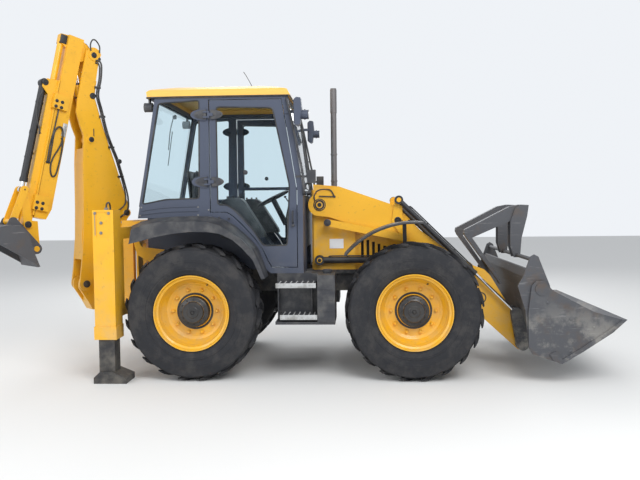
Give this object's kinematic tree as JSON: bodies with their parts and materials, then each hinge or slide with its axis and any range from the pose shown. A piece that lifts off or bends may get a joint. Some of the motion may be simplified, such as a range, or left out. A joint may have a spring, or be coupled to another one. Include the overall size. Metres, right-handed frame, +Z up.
{
  "type": "backhoe loader",
  "caption": "Backhoe loader on equal wheels with a front shovel on twin arms, folded pallet forks, glazed cab, stabiliser legs and a slewed backhoe with a sliding dipper.",
  "frame": {"origin": "middle of the bounding box on the ground plane", "axes": "+X towards the shovel, +Y to the machine's left, +Z up"},
  "size_m": [6.6428, 2.4, 3.662],
  "materials": {
    "yellow_paint": "golden yellow paint",
    "roof_paint": "pale cream-yellow paint",
    "slate_paint": "slate grey paint",
    "black_paint": "black paint",
    "black_plastic": "moulded black plastic",
    "worn_steel": "worn dark steel with soil",
    "chrome_rod": "hard chrome",
    "exhaust_steel": "dull steel",
    "engine_iron": "plain iron",
    "tyre_rubber": "black rubber",
    "cab_glazing": "lightly tinted glass",
    "seat_cloth": "dark cloth"
  },
  "bodies": {
    "chassis": {"chassis_frame": "black_paint", "rear_frame": "yellow_paint", "engine_block": "engine_iron", "hood": "yellow_paint", "nose_grille": "black_plastic", "cab_frame": "slate_paint", "cab_roof": "roof_paint", "cab_glass": "cab_glazing", "rear_fenders": "black_plastic", "side_tanks": "black_plastic", "driver_seat": "seat_cloth", "driver_controls": "black_plastic", "work_lamps": "black_plastic", "exhaust_stack": "exhaust_steel", "axle_beams": "black_paint"},
    "knuckle_front_left": {"knuckle_front_left": "black_paint", "mudguard_left": "black_plastic"},
    "wheel_front_left": {"rim_front_left": "yellow_paint", "tyre_front_left": "tyre_rubber"},
    "knuckle_front_right": {"knuckle_front_right": "black_paint", "mudguard_right": "black_plastic"},
    "wheel_front_right": {"rim_front_right": "yellow_paint", "tyre_front_right": "tyre_rubber"},
    "knuckle_rear_left": {"knuckle_rear_left": "black_paint"},
    "wheel_rear_left": {"rim_rear_left": "yellow_paint", "tyre_rear_left": "tyre_rubber"},
    "knuckle_rear_right": {"knuckle_rear_right": "black_paint"},
    "wheel_rear_right": {"rim_rear_right": "yellow_paint", "tyre_rear_right": "tyre_rubber"},
    "door_left": {"door_left": "slate_paint", "door_glass_left": "cab_glazing"},
    "leg_left": {"leg_left": "black_paint"},
    "door_right": {"door_right": "slate_paint", "door_glass_right": "cab_glazing"},
    "leg_right": {"leg_right": "black_paint"},
    "loader_arms": {"loader_arms": "yellow_paint"},
    "tilt_levers": {"tilt_levers": "yellow_paint"},
    "levelling_links": {"levelling_links": "yellow_paint"},
    "lift_barrels": {"lift_barrels": "black_paint"},
    "lift_rods": {"lift_rods": "chrome_rod"},
    "tilt_barrels": {"tilt_barrels": "black_paint"},
    "tilt_rods": {"tilt_rods": "chrome_rod"},
    "shovel_pins": {"shovel_pins": "chrome_rod"},
    "shovel_back": {"shovel_back": "worn_steel"},
    "shovel_clam": {"shovel_clam": "worn_steel"},
    "pallet_forks": {"pallet_forks": "worn_steel"},
    "side_carriage": {"side_carriage": "yellow_paint"},
    "kingpost": {"kingpost": "yellow_paint"},
    "boom": {"boom": "yellow_paint"},
    "boom_barrel": {"boom_barrel": "yellow_paint"},
    "boom_rod": {"boom_rod": "chrome_rod"},
    "dipper": {"dipper": "yellow_paint"},
    "crowd_barrel": {"crowd_barrel": "yellow_paint"},
    "crowd_rod": {"crowd_rod": "chrome_rod"},
    "inner_dipper": {"inner_dipper": "yellow_paint"},
    "bucket_barrel": {"bucket_barrel": "black_paint"},
    "bucket_rod": {"bucket_rod": "chrome_rod"},
    "tipping_lever": {"tipping_lever": "yellow_paint"},
    "tipping_link": {"tipping_link": "yellow_paint"},
    "digger_bucket": {"digger_bucket": "worn_steel"}
  },
  "joints": [
    {"name": "steer_front_left", "type": "hinge", "parent": "chassis", "child": "knuckle_front_left", "pos_m": [1.315, 0.76, 0.69], "axis": [0, 0, 1], "range_deg": [-15, 15]},
    {"name": "spin_front_left", "type": "hinge", "parent": "knuckle_front_left", "child": "wheel_front_left", "pos_m": [1.315, 0.92, 0.69], "axis": [0, 1, 0], "continuous": true},
    {"name": "steer_front_right", "type": "hinge", "parent": "chassis", "child": "knuckle_front_right", "pos_m": [1.315, -0.76, 0.69], "axis": [0, 0, 1], "range_deg": [-15, 15]},
    {"name": "spin_front_right", "type": "hinge", "parent": "knuckle_front_right", "child": "wheel_front_right", "pos_m": [1.315, -0.92, 0.69], "axis": [0, 1, 0], "continuous": true},
    {"name": "steer_rear_left", "type": "hinge", "parent": "chassis", "child": "knuckle_rear_left", "pos_m": [-0.905, 0.76, 0.69], "axis": [0, 0, 1], "range_deg": [-15, 15]},
    {"name": "spin_rear_left", "type": "hinge", "parent": "knuckle_rear_left", "child": "wheel_rear_left", "pos_m": [-0.905, 0.92, 0.69], "axis": [0, 1, 0], "continuous": true},
    {"name": "steer_rear_right", "type": "hinge", "parent": "chassis", "child": "knuckle_rear_right", "pos_m": [-0.905, -0.76, 0.69], "axis": [0, 0, 1], "range_deg": [-15, 15]},
    {"name": "spin_rear_right", "type": "hinge", "parent": "knuckle_rear_right", "child": "wheel_rear_right", "pos_m": [-0.905, -0.92, 0.69], "axis": [0, 1, 0], "continuous": true},
    {"name": "door_swing_left", "type": "hinge", "parent": "chassis", "child": "door_left", "pos_m": [-0.748, 0.865, 1.9], "axis": [0, 0, 1], "range_deg": [0, 75]},
    {"name": "leg_lift_left", "type": "slide", "parent": "chassis", "child": "leg_left", "axis": [0, 0, 1], "range_m": [-0.15, 0.25]},
    {"name": "door_swing_right", "type": "hinge", "parent": "chassis", "child": "door_right", "pos_m": [-0.748, -0.865, 1.9], "axis": [0, 0, -1], "range_deg": [0, 75]},
    {"name": "leg_lift_right", "type": "slide", "parent": "chassis", "child": "leg_right", "axis": [0, 0, 1], "range_m": [-0.15, 0.25]},
    {"name": "forks_fold", "type": "hinge", "parent": "shovel_back", "child": "pallet_forks", "pos_m": [2.515, 0, 1.69], "axis": [0, -1, 0], "range_deg": [-290, 0]},
    {"name": "clam_open", "type": "hinge", "parent": "shovel_back", "child": "shovel_clam", "pos_m": [2.519, 0, 0.93], "axis": [0, -1, 0], "range_deg": [0, 55]},
    {"name": "shovel_tilt", "type": "hinge", "parent": "shovel_pins", "child": "shovel_back", "pos_m": [2.48, 0, 0.275], "axis": [0, 1, 0], "range_deg": [-5, 80]},
    {"name": "tilt_rod_slide", "type": "slide", "parent": "tilt_barrels", "child": "tilt_rods", "axis": [0.7138, 0, -0.7004], "range_m": [-0.04, 0.42]},
    {"name": "loader_lift", "type": "hinge", "parent": "chassis", "child": "loader_arms", "pos_m": [0.357, 0, 1.761], "axis": [0, -1, 0], "range_deg": [-3, 75]},
    {"name": "levelling_link_turn", "type": "hinge", "parent": "chassis", "child": "levelling_links", "pos_m": [0.441, 0, 1.572], "axis": [0, -1, 0], "range_deg": [-4, 76]},
    {"name": "lever_turn", "type": "hinge", "parent": "loader_arms", "child": "tilt_levers", "pos_m": [1.185, 0, 1.59], "axis": [0, -1, 0], "range_deg": [-76, 4]},
    {"name": "lift_barrel_turn", "type": "hinge", "parent": "chassis", "child": "lift_barrels", "pos_m": [0.351, 0, 1.168], "axis": [0, -1, 0], "range_deg": [-4, 64]},
    {"name": "lift_rod_slide", "type": "slide", "parent": "lift_barrels", "child": "lift_rods", "axis": [1, 0, 0.0019], "range_m": [-0.03, 0.65]},
    {"name": "tilt_barrel_turn", "type": "hinge", "parent": "tilt_levers", "child": "tilt_barrels", "pos_m": [1.195, 0, 1.805], "axis": [0, -1, 0], "range_deg": [-4, 84]},
    {"name": "shovel_pins_turn", "type": "hinge", "parent": "loader_arms", "child": "shovel_pins", "pos_m": [2.48, 0, 0.275], "axis": [0, -1, 0], "range_deg": [-76, 4]},
    {"name": "side_shift", "type": "slide", "parent": "chassis", "child": "side_carriage", "axis": [0, 1, 0], "range_m": [-0.56, 0.56]},
    {"name": "slew", "type": "hinge", "parent": "side_carriage", "child": "kingpost", "pos_m": [-2.125, 0, 0.7], "axis": [0, 0, 1], "range_deg": [-135, 45]},
    {"name": "boom_lift", "type": "hinge", "parent": "kingpost", "child": "boom", "pos_m": [-2.35835, -0.23335, 0.905], "axis": [-0.7071, 0.7071, 0], "range_deg": [-120, 0]},
    {"name": "boom_barrel_turn", "type": "hinge", "parent": "kingpost", "child": "boom_barrel", "pos_m": [-2.14975, -0.02475, 0.957], "axis": [-0.7071, 0.7071, 0], "range_deg": [-112, 1]},
    {"name": "boom_rod_slide", "type": "slide", "parent": "boom_barrel", "child": "boom_rod", "axis": [0.1901, 0.1901, 0.9632], "range_m": [-0.01, 0.48]},
    {"name": "dipper_swing", "type": "hinge", "parent": "boom", "child": "dipper", "pos_m": [-2.25016, -0.12516, 3.455], "axis": [-0.7071, 0.7071, 0], "range_deg": [0, 110]},
    {"name": "crowd_barrel_turn", "type": "hinge", "parent": "boom", "child": "crowd_barrel", "pos_m": [-2.28905, -0.16405, 2.517], "axis": [-0.7071, 0.7071, 0], "range_deg": [-1, 8]},
    {"name": "crowd_rod_slide", "type": "slide", "parent": "crowd_barrel", "child": "crowd_rod", "axis": [-0.1112, -0.1112, 0.9876], "range_m": [-0.01, 0.36]},
    {"name": "dipper_extend", "type": "slide", "parent": "dipper", "child": "inner_dipper", "axis": [-0.153, -0.153, -0.9763], "range_m": [0, 1.1]},
    {"name": "bucket_curl", "type": "hinge", "parent": "inner_dipper", "child": "digger_bucket", "pos_m": [-2.73987, -0.61487, 1.32439], "axis": [0.7071, -0.7071, 0], "range_deg": [0, 145]},
    {"name": "bucket_barrel_turn", "type": "hinge", "parent": "inner_dipper", "child": "bucket_barrel", "pos_m": [-2.6214, -0.4964, 3.11047], "axis": [-0.7071, 0.7071, 0], "range_deg": [-1, 6]},
    {"name": "bucket_rod_slide", "type": "slide", "parent": "bucket_barrel", "child": "bucket_rod", "axis": [-0.1571, -0.1571, -0.975], "range_m": [-0.01, 0.75]},
    {"name": "lever_swing", "type": "hinge", "parent": "inner_dipper", "child": "tipping_lever", "pos_m": [-2.78806, -0.66306, 1.58533], "axis": [-0.7071, 0.7071, 0], "range_deg": [-165, 1]},
    {"name": "link_swing", "type": "hinge", "parent": "tipping_lever", "child": "tipping_link", "pos_m": [-2.80759, -0.68259, 1.95507], "axis": [-0.7071, 0.7071, 0], "range_deg": [-1, 95]}
  ],
  "couplings": [
    {"joint": "steer_front_right", "follows": "steer_front_left", "ratio": 1},
    {"joint": "steer_rear_right", "follows": "steer_rear_left", "ratio": 1},
    {"joint": "levelling_link_turn", "follows": "loader_lift", "ratio": 1},
    {"joint": "lever_turn", "follows": "loader_lift", "ratio": -1},
    {"joint": "lift_barrel_turn", "follows": "loader_lift", "ratio": 0.8},
    {"joint": "lift_rod_slide", "follows": "loader_lift", "m_per_rad": 0.478},
    {"joint": "tilt_barrel_turn", "follows": "loader_lift", "ratio": 1.05},
    {"joint": "shovel_pins_turn", "follows": "loader_lift", "ratio": -1},
    {"joint": "tilt_rod_slide", "follows": "shovel_tilt", "m_per_rad": 0.27},
    {"joint": "boom_barrel_turn", "follows": "boom_lift", "ratio": 0.92},
    {"joint": "boom_rod_slide", "follows": "boom_lift", "m_per_rad": -0.2211},
    {"joint": "crowd_barrel_turn", "follows": "dipper_swing", "ratio": 0.04},
    {"joint": "crowd_rod_slide", "follows": "dipper_swing", "m_per_rad": 0.176},
    {"joint": "bucket_barrel_turn", "follows": "bucket_curl", "ratio": 0.02},
    {"joint": "bucket_rod_slide", "follows": "bucket_curl", "m_per_rad": 0.246},
    {"joint": "lever_swing", "follows": "bucket_curl", "ratio": -0.98},
    {"joint": "link_swing", "follows": "bucket_curl", "ratio": 0.549}
  ]
}
